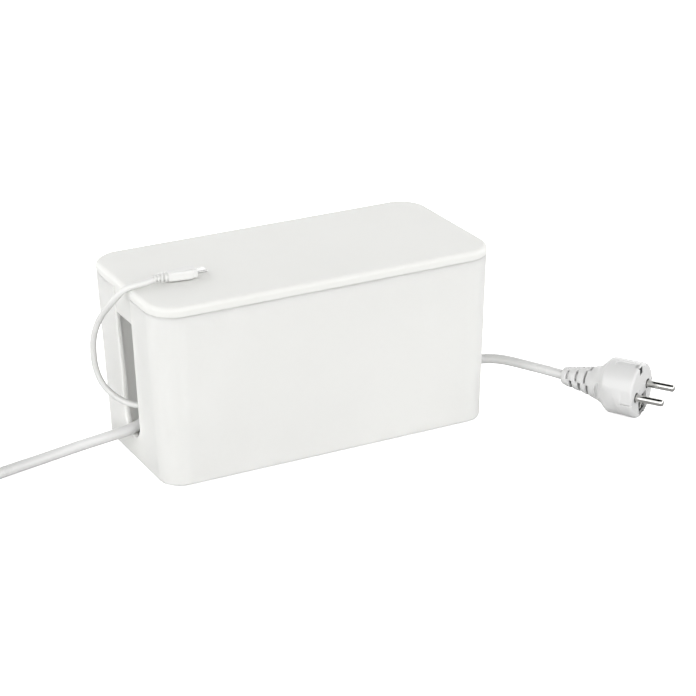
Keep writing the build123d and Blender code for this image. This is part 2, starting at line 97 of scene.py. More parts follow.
def object_coords(nt, scale=(1, 1, 1)):
    tc = nt.nodes.new("ShaderNodeTexCoord")
    mp = nt.nodes.new("ShaderNodeMapping")
    mp.inputs["Scale"].default_value = scale
    link(nt, tc.outputs["Object"], mp.inputs["Vector"])
    return mp.outputs["Vector"]


def noise(nt, vec, scale, detail=2.0, rough=0.5):
    n = nt.nodes.new("ShaderNodeTexNoise")
    n.inputs["Scale"].default_value = scale
    n.inputs["Detail"].default_value = detail
    n.inputs["Roughness"].default_value = rough
    link(nt, vec, n.inputs["Vector"])
    return n.outputs["Fac"]


def remap(nt, fac, lo, hi, a=0.3, b=0.7):
    r = nt.nodes.new("ShaderNodeMapRange")
    r.inputs["From Min"].default_value = a
    r.inputs["From Max"].default_value = b
    r.inputs["To Min"].default_value = lo
    r.inputs["To Max"].default_value = hi
    link(nt, fac, r.inputs["Value"])
    return r.outputs["Result"]


def two_tone(nt, fac, c0, c1, a=0.3, b=0.7):
    r = nt.nodes.new("ShaderNodeValToRGB")
    r.color_ramp.elements[0].position = a
    r.color_ramp.elements[1].position = b
    r.color_ramp.elements[0].color = (*c0, 1)
    r.color_ramp.elements[1].color = (*c1, 1)
    link(nt, fac, r.inputs["Fac"])
    return r.outputs["Color"]


def bump(nt, height, strength, distance, normal=None):
    b = nt.nodes.new("ShaderNodeBump")
    b.inputs["Strength"].default_value = strength
    b.inputs["Distance"].default_value = distance
    link(nt, height, b.inputs["Height"])
    if normal is not None:
        link(nt, normal, b.inputs["Normal"])
    return b.outputs["Normal"]


def moulded(name, c0, c1, rough, grain, grain_depth, wave_depth=0.00003, specular=0.5, coat=0.0, glow=0.0, reach=0.006):
    """Moulded plastic: a fine spark-eroded grain over a faint large waviness, with slightly uneven gloss."""
    mat, nt, bsdf = material(name)
    v = object_coords(nt)
    fine = noise(nt, v, grain, 3.0, 0.6)
    broad = noise(nt, v, 26.0, 2.0, 0.5)
    cloud = noise(nt, v, 9.0, 3.0, 0.55)
    link(nt, two_tone(nt, cloud, c0, c1), bsdf.inputs["Base Color"])
    link(nt, remap(nt, noise(nt, v, 60.0, 3.0, 0.6), rough - 0.04, rough + 0.05), bsdf.inputs["Roughness"])
    n1 = bump(nt, broad, 0.5, wave_depth)
    n2 = bump(nt, fine, 0.6, grain_depth, n1)
    link(nt, n2, bsdf.inputs["Normal"])
    bsdf.inputs["Specular IOR Level"].default_value = specular
    bsdf.inputs["Coat Weight"].default_value = coat
    bsdf.inputs["Coat Roughness"].default_value = 0.25
    bsdf.inputs["Subsurface Weight"].default_value = glow
    bsdf.inputs["Subsurface Radius"].default_value = (1.0, 1.0, 1.0)
    bsdf.inputs["Subsurface Scale"].default_value = reach
    return mat


def metal(name, c0, c1, rough, scratch_scale, stretch, depth):
    mat, nt, bsdf = material(name)
    v = object_coords(nt, stretch)
    s = noise(nt, v, scratch_scale, 4.0, 0.65)
    w = noise(nt, object_coords(nt), 140.0, 3.0, 0.6)
    link(nt, two_tone(nt, w, c0, c1), bsdf.inputs["Base Color"])
    link(nt, remap(nt, s, rough * 0.7, rough * 1.5), bsdf.inputs["Roughness"])
    link(nt, bump(nt, s, 0.35, depth), bsdf.inputs["Normal"])
    bsdf.inputs["Metallic"].default_value = 1.0
    return mat


M_BOX = moulded("box_plastic", (0.800, 0.801, 0.764), (0.815, 0.816, 0.779), 0.42, 2600.0, 0.000010, glow=1.0, reach=0.0085)
M_STRIP = moulded("strip_plastic", (0.78, 0.78, 0.77), (0.80, 0.80, 0.79), 0.36, 2200.0, 0.000010)
M_LEAD = moulded("lead_sheath", (0.615, 0.615, 0.610), (0.642, 0.642, 0.637), 0.30, 1500.0, 0.000012, 0.00006)
M_PLUG = moulded("plug_pvc", (0.618, 0.618, 0.614), (0.638, 0.638, 0.634), 0.30, 1800.0, 0.000008)
M_USB = moulded("usb_sheath", (0.634, 0.634, 0.622), (0.654, 0.654, 0.642), 0.33, 2000.0, 0.000008)
M_FOOT = moulded("foot_rubber", (0.42, 0.42, 0.415), (0.46, 0.46, 0.455), 0.75, 1700.0, 0.00002)
M_PIN = metal("pin_nickel", (0.55, 0.545, 0.525), (0.62, 0.615, 0.595), 0.10, 900.0, (1, 1, 1), 0.000004)
M_STEEL = metal("plated_steel", (0.55, 0.55, 0.54), (0.63, 0.63, 0.62), 0.26, 700.0, (1, 1, 4), 0.000006)
M_BRASS = metal("brass", (0.62, 0.45, 0.18), (0.70, 0.52, 0.22), 0.28, 700.0, (1, 4, 1), 0.000006)
M_SCREW = metal("screw_steel", (0.45, 0.45, 0.44), (0.52, 0.52, 0.51), 0.32, 600.0, (1, 1, 1), 0.00001)
M_BOARD = moulded("board_green", (0.015, 0.09, 0.035), (0.02, 0.11, 0.045), 0.4, 900.0, 0.00001)


def tie_material():
    """Woven hook-and-loop strap."""
    mat, nt, bsdf = material("strap_weave")
    v = object_coords(nt)
    a = nt.nodes.new("ShaderNodeTexVoronoi")
    a.inputs["Scale"].default_value = 1500.0
    link(nt, v, a.inputs["Vector"])
    link(nt, two_tone(nt, a.outputs["Distance"], (0.035, 0.035, 0.037), (0.012, 0.012, 0.013), 0.1, 0.6), bsdf.inputs["Base Color"])
    link(nt, remap(nt, a.outputs["Distance"], 0.7, 0.95), bsdf.inputs["Roughness"])
    link(nt, bump(nt, a.outputs["Distance"], 0.8, 0.0003), bsdf.inputs["Normal"])
    bsdf.inputs["Sheen Weight"].default_value = 0.3
    return mat


M_TIE = tie_material()
M_LID = moulded("lid_plastic", (0.703, 0.704, 0.683), (0.718, 0.719, 0.698), 0.62, 2600.0, 0.000010, specular=0.3, glow=1.0, reach=0.0012)
# near-black plastic for the plug's inner bridge and strain-relief tube: its darkness is painted shade in the pocket,
# the pin collars and the slots
M_SHADE_CORE = moulded("plug_core_painted_shade", (0.012, 0.012, 0.013), (0.020, 0.020, 0.021), 0.6, 1500.0, 0.00001, specular=0.12)
M_CLIP = metal("clip_nickel", (0.50, 0.50, 0.48), (0.60, 0.60, 0.58), 0.30, 500.0, (1, 1, 1), 0.000002)


def wire_material():
    """Brown, blue and green-yellow insulation by position across the strip."""
    mat, nt, bsdf = material("wire_insulation")
    tc = nt.nodes.new("ShaderNodeTexCoord")
    sep = nt.nodes.new("ShaderNodeSeparateXYZ")
    link(nt, tc.outputs["Object"], sep.inputs["Vector"])
    r = nt.nodes.new("ShaderNodeMapRange")
    r.inputs["From Min"].default_value = -0.042
    r.inputs["From Max"].default_value = -0.008
    link(nt, sep.outputs["Y"], r.inputs["Value"])
    ramp = nt.nodes.new("ShaderNodeValToRGB")
    ramp.color_ramp.interpolation = "CONSTANT"
    e = ramp.color_ramp.elements
    e[0].position, e[0].color = 0.0, (0.16, 0.06, 0.025, 1)
    e[1].position, e[1].color = 0.53, (0.02, 0.08, 0.35, 1)
    mid = e.new(0.47)
    mid.color = (0.25, 0.45, 0.03, 1)
    link(nt, r.outputs["Result"], ramp.inputs["Fac"])
    link(nt, ramp.outputs["Color"], bsdf.inputs["Base Color"])
    v = object_coords(nt)
    link(nt, remap(nt, noise(nt, v, 900.0), 0.3, 0.45), bsdf.inputs["Roughness"])
    link(nt, bump(nt, noise(nt, v, 1800.0), 0.3, 0.00001), bsdf.inputs["Normal"])
    return mat


M_WIRE = wire_material()


def paint(obj, mat):
    obj.data.materials.clear()
    obj.data.materials.append(mat)


NODE_MATERIALS = {
    M_BOX: ["box_body"],
    M_LID: ["lid"],
    M_FOOT: ["foot_front_left", "foot_front_right", "foot_rear_left", "foot_rear_right"],
    M_STRIP: ["strip_base", "strip_cover"],
    M_SCREW: ["strip_screws"],
    M_BRASS: ["live_bus_bar", "neutral_bus_bar", "earth_bus_bar"],
    M_WIRE: ["strip_wires"],
    M_BOARD: ["usb_board"],
    M_STEEL: ["usb_port", "usb_plug_shell", "micro_plug_tip", "mains_plug_earth_clips"],
    M_PIN: ["mains_plug_pins", "appliance_plug_pins"],
    M_LEAD: ["strip_gland", "mains_lead_inner", "mains_lead_hank", "mains_lead", "appliance_lead", "appliance_lead_coil", "appliance_lead_tail"],
    M_PLUG: ["mains_plug_body", "appliance_plug_body", "appliance_connector"],
    M_USB: ["usb_plug_body", "usb_lead_inner", "usb_lead_coil", "usb_lead", "usb_lead_end", "micro_plug_body"],
    M_TIE: ["hank_tie", "appliance_coil_tie", "usb_coil_tie"],
}
for mat, names in NODE_MATERIALS.items():
    for n in names:
        paint(nodes[n], mat)


# ---------------------------------------------------------------- solids from distance fields, in local millimetres
def blend_min(a, b, k):
    h = np.clip(0.5 + 0.5 * (b - a) / k, 0.0, 1.0)
    return b * (1 - h) + a * h - k * h * (1 - h)


def blend_max(a, b, k):
    return -blend_min(-a, -b, k)


def block(x, y, z, centre, half, radius=0.0):
    """Distance to a box with rounded edges."""
    q = [np.abs(v - c) - (h - radius) for v, c, h in zip((x, y, z), centre, half)]
    out = np.sqrt(sum(np.maximum(v, 0) ** 2 for v in q))
    return out + np.minimum(np.maximum(np.maximum(q[0], q[1]), q[2]), 0) - radius


def oval(x, y, a, b):
    """Distance to an ellipse of half axes a and b, close to its edge."""
    q = np.sqrt((x / a) ** 2 + (y / b) ** 2) + 1e-9
    return (q - 1) * q / (np.sqrt((x / a ** 2) ** 2 + (y / b ** 2) ** 2) + 1e-9)


def sector(x, y, from_deg, to_deg):
    """Negative between two angles, counted from -x towards +y, less than half a turn apart."""
    a, b = math.radians(from_deg), math.radians(to_deg)
    u, v = -x, y
    return np.maximum(u * math.sin(a) - v * math.cos(a), v * math.cos(b) - u * math.sin(b))


def field_mesh(name, field, lo, hi, step, origin, axes, mat, smooth=True):
    """Mesh where a field is zero: one point for each crossed cell, drawn onto the surface, and a face for each crossed edge."""
    counts = [int(math.ceil((b - a) / step)) + 1 for a, b in zip(lo, hi)]
    lines = [a + step * np.arange(c) for a, c in zip(lo, counts)]
    d = field(*np.meshgrid(*lines, indexing="ij"))
    solid = d < 0
    total = sum(solid[i:counts[0] - 1 + i, j:counts[1] - 1 + j, k:counts[2] - 1 + k].astype(np.int8)
                for i in (0, 1) for j in (0, 1) for k in (0, 1))
    cells = np.argwhere((total > 0) & (total < 8))
    index = np.full(total.shape, -1)
    index[tuple(cells.T)] = np.arange(len(cells))
    pos = np.zeros((len(cells), 3))
    hits = np.zeros(len(cells))
    for axis in range(3):
        others = [a for a in range(3) if a != axis]
        for u in (0, 1):
            for v in (0, 1):
                a = cells.copy()
                a[:, others[0]] += u
                a[:, others[1]] += v
                b = a.copy()
                b[:, axis] += 1
                da, db = d[tuple(a.T)], d[tuple(b.T)]
                cross = (da < 0) != (db < 0)
                t = np.where(cross, da / np.where(cross, da - db, 1.0), 0.0)
                p = a.astype(float)
                p[:, axis] += t
                pos += p * cross[:, None]
                hits += cross
    pos = np.array(lo) + step * pos / hits[:, None]
    start = pos.copy()
    eps = 0.04
    for _ in range(3):
        here = field(*pos.T)
        g = np.stack([(field(*(pos + eps * e).T) - field(*(pos - eps * e).T)) / (2 * eps) for e in np.eye(3)], 1)
        move = -here[:, None] * g / np.maximum((g ** 2).sum(1), 0.3)[:, None]
        pos = pos + np.clip(move, -0.4 * step, 0.4 * step)
        pos = start + np.clip(pos - start, -0.7 * step, 0.7 * step)
    quads = []
    for axis in range(3):
        o1, o2 = [(1, 2), (2, 0), (0, 1)][axis]
        lower = [slice(None)] * 3
        upper = [slice(None)] * 3
        lower[axis], upper[axis] = slice(0, -1), slice(1, None)
        s0, s1 = solid[tuple(lower)], solid[tuple(upper)]
        for flip in (False, True):
            e = np.argwhere((~s0 & s1) if flip else (s0 & ~s1))
            keep = (e[:, o1] > 0) & (e[:, o2] > 0) & (e[:, o1] < counts[o1] - 1) & (e[:, o2] < counts[o2] - 1)
            e = e[keep]
            ring = []
            for du, dv in ((-1, -1), (0, -1), (0, 0), (-1, 0)):
                c = e.copy()
                c[:, o1] += du
                c[:, o2] += dv
                ring.append(index[tuple(c.T)])
            q = np.stack(ring, 1)
            quads.append(q[:, ::-1] if flip else q)
    quads = np.concatenate(quads)
    world = np.array(origin) + pos @ np.array(axes)
    me = bpy.data.meshes.new(name)
    me.vertices.add(len(world))
    me.vertices.foreach_set("co", (world * MM).ravel())
    me.loops.add(quads.size)
    me.loops.foreach_set("vertex_index", quads.ravel().astype(np.int32))
    me.polygons.add(len(quads))
    me.polygons.foreach_set("loop_start", np.arange(0, quads.size, 4, dtype=np.int32))
    me.update(calc_edges=True)
    me.validate()
    me.polygons.foreach_set("use_smooth", [smooth] * len(me.polygons))
    ob = bpy.data.objects.new(name, me)
    top.objects.link(ob)
    paint(ob, mat)
    return ob


def stand_in(ob, slot, *names):
    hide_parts(*names)


# ---------------------------------------------------------------- mains plug
LEVEL = np.array((-PLUG_AXIS.y, PLUG_AXIS.x, 0.0))
PLUG_X = LEVEL * math.cos(PLUG_ROLL) + np.array((0, 0, 1.0)) * math.sin(PLUG_ROLL)
PLUG_Z = np.array(PLUG_AXIS)
PLUG_AXES = [PLUG_X, np.cross(PLUG_Z, PLUG_X), PLUG_Z]
NECK_Z = [-56.0, -38.0, -34.0, -27.4, -20.0, -12.0]
NECK_R = [5.8, 8.9, 9.9, 11.4, 13.0, 14.0]
GRIP_Z = [-56.0, -40.0, -36.0, -32.0, -28.0, -24.0, -20.0, -15.0, -10.0, -6.0, 0.0]
GRIP_X = [5.8, 8.6, 9.8, 11.6, 13.4, 15.1, 16.6, 17.9, 18.6, 18.9, 19.2]
NEAR_SLOTS, LOW_SLOTS = (-51.0, -44.2, -37.5), (-48.1, -41.5, -35.0)


def plug_field(x, y, z):
    r = np.hypot(x, y)
    side = np.interp(z, GRIP_Z, GRIP_X)
    head = blend_max(r - 18.5, z, 2.4)
    head = blend_max(head, (r - z - 39.2 - 0.09 * y) / 1.4142, 0.8)
    # the sides are scooped for the fingers, with a flat ahead of the scoop
    head = blend_max(head, np.abs(x) - side, 1.2)
    c, s = math.cos(math.radians(12)), math.sin(math.radians(12))
    head = blend_max(head, np.abs(-x * c + y * s) - 17.95, 0.35)
    # strain relief: rings that bulge between the slots, staggered from quadrant to quadrant
    near = blend_max(sector(x, y, -3, 95), 0 * x, 0.1) <= 0.05
    near = near | (sector(-x, -y, -3, 95) <= 0)
    ripple = np.where(near, np.abs(np.sin(math.pi * (z + 51.0) / 6.75)), np.abs(np.sin(math.pi * (z + 48.1) / 6.55)))
    fade = np.interp(z, [-56.0, -54.0, -37.0, -31.0], [0.0, 1.0, 1.0, 0.0])
    neck = oval(x, y, side, np.interp(z, NECK_Z, NECK_R)) * 0.97 - 0.42 * (ripple - 0.45) * fade
    neck = blend_max(neck, -56.0 - z, 1.6)
    neck = blend_max(neck, z + 8.0, 1.0)
    body = blend_min(head, neck, 1.1)
    core = np.interp(z, [-56.0, -34.0], [3.9, 5.6])
    for z0 in NEAR_SLOTS:
        for sx in (1, -1):
            cut = np.maximum(np.abs(z - z0) - 0.85, np.maximum(sector(sx * x, sx * y, 15, 78), core + 0.1 - r))
            body = np.maximum(body, -cut)
    for z0 in LOW_SLOTS:
        low = np.maximum(sector(x, y, -80, 12), core - r)
        high = np.maximum(sector(-x, -y, -104 if z0 > -36 else -86, 12), core - r)
        cut = np.maximum(np.abs(z - z0) - 1.0, np.minimum(low, high))
        body = np.maximum(body, -cut)
    # shallow slot and line on the near grip, and their twins on the far one
    for sx in (1, -1):
        shallow = block(sx * x, sx * y, z, (-14.5, 0.6, -26.6), (3.2, 6.6, 1.6), 0.4)
        body = np.maximum(body, -np.maximum(shallow, -(body + 2.4)))
        line = block(sx * x, sx * y, z, (-15.5, 2.6, -23.6), (3.2, 6.4, 0.35))
        body = np.maximum(body, -np.maximum(line, -(body + 0.35)))
        groove = block(sx * x, sx * y, z, (-18.4, -1.5, -2.6), (1.9, 0.45, 5.4))
        body = np.maximum(body, -np.maximum(groove, -(body + 1.3)))
    # the back of the head is a little smaller below the near flat
    angle = np.degrees(np.arctan2(y, -x))
    behind = z + 13.2 - (10.7 - angle) * 0.107
    soft = np.clip(-behind / 0.8, 0, 1) * np.interp(angle, [-90, -75, 8, 22], [0, 1, 1, 0]) * np.interp(z, [-22, -17], [0, 1])
    body = body + 0.4 * soft
    # earth contact channels and the mouths that open in the face
    channel = block(x, y, z, (0.4, 18.9, -9.3), (2.2, 1.35, 7.9), 0.5)
    body = np.maximum(body, -channel)
    body = np.maximum(body, -block(x, y, z, (-1.75, 18.6, -7.6), (0.4, 1.5, 7.6), 0.1))
    mouth = block(x, y, z, (0.5, 14.8, 0.0), (2.2, 2.5, 4.2), 0.5)
    body = np.maximum(body, -mouth)
    body = np.maximum(body, -block(x, y, z, (0.0, -18.3, -8.5), (2.4, 1.9, 9.0), 0.7))
    pocket = block(x, y, z, (0.0, -9.5, 0.0), (6.3, 6.6, 8.0), 1.2)
    body = np.maximum(body, -pocket)
    # collars round the pins
    for px in (-9.5, 9.5):
        ring = np.maximum(np.hypot(x - px, y) - 3.3, -2.4 - z)
        body = np.maximum(body, -ring)
    bump_ = np.sqrt((x - 16.6) ** 2 + y ** 2 + (z + 0.2) ** 2) - 0.9
    return np.minimum(body, bump_)


plug_body = field_mesh("plug_body", plug_field, (-20.2, -20.2, -57.0), (20.2, 20.2, 1.4), 0.34, PLUG_FACE, PLUG_AXES, M_PLUG)
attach(plug_body, "box")
stand_in(plug_body, "plug_pvc", "mains_plug_body")


def plug_core_field(x, y, z):
    """The near-black bridge that holds the pins, seen in the collars and at the back of the pocket; its near-black
    colour is painted shade in these recesses.
    """
    plate = np.maximum(block(x, y, z, (0.0, -9.5, -4.8), (6.25, 6.55, 2.9), 0.3), np.hypot(x, y) - 17.0)
    collars = None
    for px in (-9.5, 9.5):
        rr = np.hypot(x - px, y)
        c = np.maximum(np.maximum(rr - 3.25, -7.0 - z), z + 0.4)
        collars = c if collars is None else np.minimum(collars, c)
    socket = np.hypot(x, y + 10.0) - 2.3
    d = np.minimum(np.maximum(plate, -socket), collars)
    d = np.minimum(d, block(x, y, z, (0.5, 14.8, -2.1), (2.15, 2.45, 1.5), 0.2))
    for px in (-9.5, 9.5):
        d = np.maximum(d, 2.42 - np.hypot(x - px, y))
    return d


plug_core_shade = field_mesh("plug_core_shade", plug_core_field, (-13.6, -17.6, -8.6), (13.6, 18.6, 0.2), 0.3, PLUG_FACE, PLUG_AXES, M_SHADE_CORE)
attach(plug_core_shade, "box")


def sleeve_field(x, y, z):
    """The inner tube of the strain relief, seen at the bottom of its deeper slots; its near-black colour is painted
    shade in the slots.
    """
    r = np.hypot(x, y)
    tube = np.maximum(np.maximum(r - np.interp(z, [-56.0, -34.0], [3.9, 5.6]) - 0.35, 3.45 - r), np.abs(z + 43.5) - 10.5)
    return np.maximum(tube, np.minimum(sector(x, y, -88, 13), sector(-x, -y, -106, 13)))


plug_sleeve_shade = field_mesh("plug_sleeve_shade", sleeve_field, (-6.6, -6.6, -54.4), (6.6, 6.6, -32.6), 0.35, PLUG_FACE, PLUG_AXES, M_SHADE_CORE)
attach(plug_sleeve_shade, "box")


def clip_field(x, y, z):
    """Two sprung earth contacts: a bowed strip in each channel, folded in at the face, and the round earth sleeve."""
    d = None
    for s, half in ((1, 1.7), (-1, 1.9)):
        bow = 16.4 + 0.25 * np.cos(math.pi * (z + 9.0) / 16.0)
        strip = np.maximum(np.maximum(np.abs(x - (0.2 if s > 0 else 0.0)) - half, np.abs(s * y - bow) - 0.3), np.abs(z + 9.6) - 7.9)
        d = strip if d is None else np.minimum(d, strip)
    lip = block(x, y, z, (0.0, -14.9, -2.4), (1.9, 1.9, 0.32), 0.1)
    tongue_l = block(x * 0.866 - (y + 11.6) * 0.5, x * 0.5 + (y + 11.6) * 0.866, z, (-1.3, 0.0, -2.4), (0.45, 2.1, 1.6), 0.15)
    tongue_r = block(x * 0.866 + (y + 11.6) * 0.5, -x * 0.5 + (y + 11.6) * 0.866, z, (1.3, 0.0, -2.4), (0.45, 2.1, 1.6), 0.15)
    sleeve = np.maximum(np.abs(np.hypot(x, y + 10.0) - 2.6) - 0.28, np.abs(z + 4.0) - 1.7)
    return np.minimum(np.minimum(np.minimum(d, lip), np.minimum(tongue_l, tongue_r)), sleeve)


clips = field_mesh("plug_clips", clip_field, (-4.6, -18.4, -18.4), (4.6, 18.4, 0.2), 0.2, PLUG_FACE, PLUG_AXES, M_CLIP)
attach(clips, "box")
stand_in(clips, "plated_steel", "mains_plug_earth_clips")

# ---------------------------------------------------------------- small plug on the lid
WORLD_AXES = [np.array((1.0, 0, 0)), np.array((0, 1.0, 0)), np.array((0, 0, 1.0))]


def small_plug_field(x, y, z):
    half_w = np.interp(x, [8.5, 10.5, 14.0, 18.0, 22.0, 28.0], [2.7, 3.05, 3.6, 4.2, 4.6, 4.75])
    half_h = np.interp(x, [8.5, 11.0, 28.0], [2.75, 3.15, 3.3])
    qy, qz = np.abs(y) - (half_w - 1.5), np.abs(z) - (half_h - 1.5)
    shell = np.hypot(np.maximum(qy, 0), np.maximum(qz, 0)) + np.minimum(np.maximum(qy, qz), 0) - 1.5
    nose = blend_max(shell + 0.5, np.abs(x - 25.0) - 3.2, 0.8)
    body = np.minimum(blend_max(shell, np.abs(x - 17.1) - 8.1, 0.9), nose)
    # curved ribs on the strain relief, arched towards the tip
    ribs = None
    for k in range(4):
        xc = 0.95 + 2.25 * k
        w, h = 2.65 + 0.38 * k, 2.35 + 0.27 * k
        arch = x - xc - 0.3 + 1.1 * (y / w) ** 2
        rib = blend_max(oval(y, z, w, h), np.abs(arch) - 0.68, 0.5)
        ribs = rib if ribs is None else np.minimum(ribs, rib)
    stem = np.maximum(oval(y, z, np.interp(x, [0, 9], [2.0, 2.6]), np.interp(x, [0, 9], [1.95, 2.3])), np.abs(x - 5.0) - 4.7)
    return np.minimum(np.minimum(body, ribs), stem)


small_plug = field_mesh("small_plug_body", small_plug_field, (-0.5, -5.4, -4.0), (29.0, 5.4, 4.0), 0.17, (-101.0, -13.6, 123.85), WORLD_AXES, M_USB)
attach(small_plug, "lid")
stand_in(small_plug, "usb_moulding", "micro_plug_body")


def tip_field(x, y, z):
    """Pressed steel shell of the tip: a flat trapezium tube with two latches, a tongue inside."""
    half = 3.35 + 0.35 * z / 0.9
    outer = blend_max(np.abs(y) - np.clip(half, 2.5, 3.45), np.abs(z) - 0.92, 0.7)
    tube = np.maximum(np.maximum(outer, np.abs(x - 5.0) - 5.0), -np.maximum(outer + 0.3, 6.0 - x))
    tongue = block(x, y, z, (6.4, 0.0, 0.12), (3.0, 1.9, 0.3), 0.1)
    latch = None
    for s in (-1, 1):
        b = block(x, y, z, (6.6, s * 1.9, -0.92), (0.9, 0.35, 0.22), 0.15)
        latch = b if latch is None else np.minimum(latch, b)
    return np.minimum(np.minimum(tube, tongue), latch)


tip = field_mesh("small_plug_tip", tip_field, (-0.4, -3.8, -1.4), (10.4, 3.8, 1.4), 0.11, (-76.4, -13.6, 123.9), WORLD_AXES, M_STEEL)
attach(tip, "lid")
stand_in(tip, "plated_steel", "micro_plug_tip")

# ---------------------------------------------------------------- plugs inside the box and the connector
def round_section(x, y, a, b, radius):
    """Distance to a rectangle of half sizes a and b with rounded corners."""
    qx, qy = np.abs(x) - (a - radius), np.abs(y) - (b - radius)
    return np.hypot(np.maximum(qx, 0), np.maximum(qy, 0)) + np.minimum(np.maximum(qx, qy), 0) - radius


def usb_body_field(x, y, z):
    shell = round_section(x, y, 3.95, 7.7, 2.2)
    body = blend_max(shell, np.abs(z - 11.0) - 10.9, 1.6)
    dish = np.sqrt((np.abs(x) - 19.6) ** 2 + (z - 11.5) ** 2) - 16.4
    body = blend_max(body, -np.maximum(dish, np.abs(y) - 5.4), 0.4)
    neck = blend_max(np.hypot(x, y) - np.interp(z, [20.0, 32.8], [3.2, 2.5]), np.abs(z - 26.0) - 6.8, 0.6)
    for k in range(4):
        ring = np.maximum(np.abs(z - 23.8 - 2.3 * k) - 0.5, 2.15 - np.hypot(x, y))
        neck = np.maximum(neck, -np.maximum(ring, (-1) ** k * x * 0 + np.abs(x if k % 2 else y) - 2.2))
    return blend_min(body, neck, 1.2)


usb_body = field_mesh("charging_plug_body", usb_body_field, (-4.3, -8.2, -0.4), (4.3, 8.2, 33.2), 0.25, (PORT_X, STRIP_Y, 44.1), WORLD_AXES, M_USB)
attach(usb_body, "box")
stand_in(usb_body, "usb_moulding", "usb_plug_body")

q = math.sqrt(0.5)
TURNED_AXES = [np.array((q, q, 0.0)), np.array((-q, q, 0.0)), np.array((0, 0, 1.0))]


def appliance_plug_field(x, y, z):
    r = np.hypot(x, y)
    lower = blend_max(r - 18.6, np.abs(z - 35.0) - 10.2, 0.6)
    upper = blend_max(r - 19.5, np.abs(z - 50.9) - 7.1, 4.5)
    body = blend_min(lower, upper, 0.8)
    dish = np.sqrt(x ** 2 + y ** 2 + (z - 96.0) ** 2) - 40.0
    body = blend_max(body, -dish, 1.2)
    grip = np.maximum(np.abs(np.abs(x) - 19.9) - 0.9, np.abs((z - 50.0 + 60) % 2.6 - 1.3) - 0.5)
    body = np.maximum(body, -np.maximum(grip, np.maximum(np.abs(z - 50.5) - 4.2, np.abs(y) - 7.5)))
    rr = np.hypot(x, z - 51.0)
    neck = blend_max(rr - np.interp(y, [12.0, 22.0, 37.4], [8.1, 7.5, 5.4]), np.abs(y - 21.2) - 16.2, 1.0)
    for k in range(4):
        ring = np.maximum(np.abs(y - 24.4 - 3.2 * k) - 0.7, 4.3 - rr)
        neck = np.maximum(neck, -np.maximum(ring, 1.6 - np.abs(x if k % 2 else z - 51.0)))
    body = blend_min(body, neck, 2.5)
    for s in (-1, 1):
        body = np.maximum(body, -block(x, y, z, (s * 18.6, 0, 33.0), (2.0, 2.8, 9.2), 0.3))
        body = np.maximum(body, -block(x, y, z, (0, s * 18.8, 32.5), (3.8, 1.5, 8.8), 0.3))
        body = np.maximum(body, -np.maximum(np.hypot(x - s * 9.5, y) - 2.5, z - 33.8))
    return body


ap_body = field_mesh("appliance_plug", appliance_plug_field, (-20.4, -20.4, 24.0), (20.4, 38.2, 59.6), 0.45, (AP_X, STRIP_Y, 0.0), TURNED_AXES, M_PLUG)
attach(ap_body, "box")
stand_in(ap_body, "plug_pvc", "appliance_plug_body")


def connector_field(x, y, z):
    section = np.maximum(np.maximum(np.abs(x) - 13.5, np.abs(y) - 7.95), (np.abs(x) + y - 16.5) / 1.4142)
    body = blend_max(section, np.abs(z - 41.0) - 14.95, 1.0)
    a, b = np.interp(z, [19.0, 26.5], [6.4, 13.0]), np.interp(z, [19.0, 26.5], [5.4, 7.5])
    shoulder = blend_max(round_section(x, y, a, b, 2.0), np.abs(z - 23.0) - 4.2, 0.5)
    tail_ = blend_max(round_section(x, y, np.interp(z, [0, 20], [4.95, 6.9]), np.interp(z, [0, 20], [4.95, 6.4]), 4.3), np.abs(z - 10.2) - 10.1, 0.9)
    for k in range(5):
        ring = np.maximum(np.abs(z - 2.8 - 3.3 * k) - 0.65, 4.15 - np.hypot(x, y))
        tail_ = np.maximum(tail_, -np.maximum(ring, 1.3 - np.abs(x if k % 2 else y)))
    body = blend_min(blend_min(body, shoulder, 0.8), tail_, 0.8)
    for k in range(4):
        rib = np.maximum(np.abs(np.abs(x) - 13.9) - 0.9, np.abs(z - 29.0 - 2.4 * k) - 0.5)
        body = np.maximum(body, -rib)
    inner = np.maximum(np.maximum(np.abs(x) - 11.7, np.abs(y) - 6.8), (np.abs(x) + y - 14.2) / 1.4142)
    body = np.maximum(body, -np.maximum(inner, 38.0 - z))
    body = np.minimum(body, block(x, y, z, (0.0, -0.6, 46.0), (8.2, 4.2, 9.0), 0.6))
    for sx, sy in ((-5, 0.8), (5, 0.8), (0, -2.2)):
        body = np.maximum(body, -block(x, y, z, (sx, sy, 51.0), (0.8, 1.6, 6.0)))
    return body


conn_d = np.array((10.8, 7.2, 0.0)) / math.hypot(10.8, 7.2)
CONN_AXES = [np.array((-conn_d[1], conn_d[0], 0.0)), np.array((0, 0, 1.0)), conn_d]
connector = field_mesh("connector", connector_field, (-14.4, -8.6, -0.6), (14.4, 8.6, 56.8), 0.4, (-233.0, 102.6, 8.6), CONN_AXES, M_PLUG)
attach(connector, "box")
stand_in(connector, "plug_pvc", "appliance_connector")


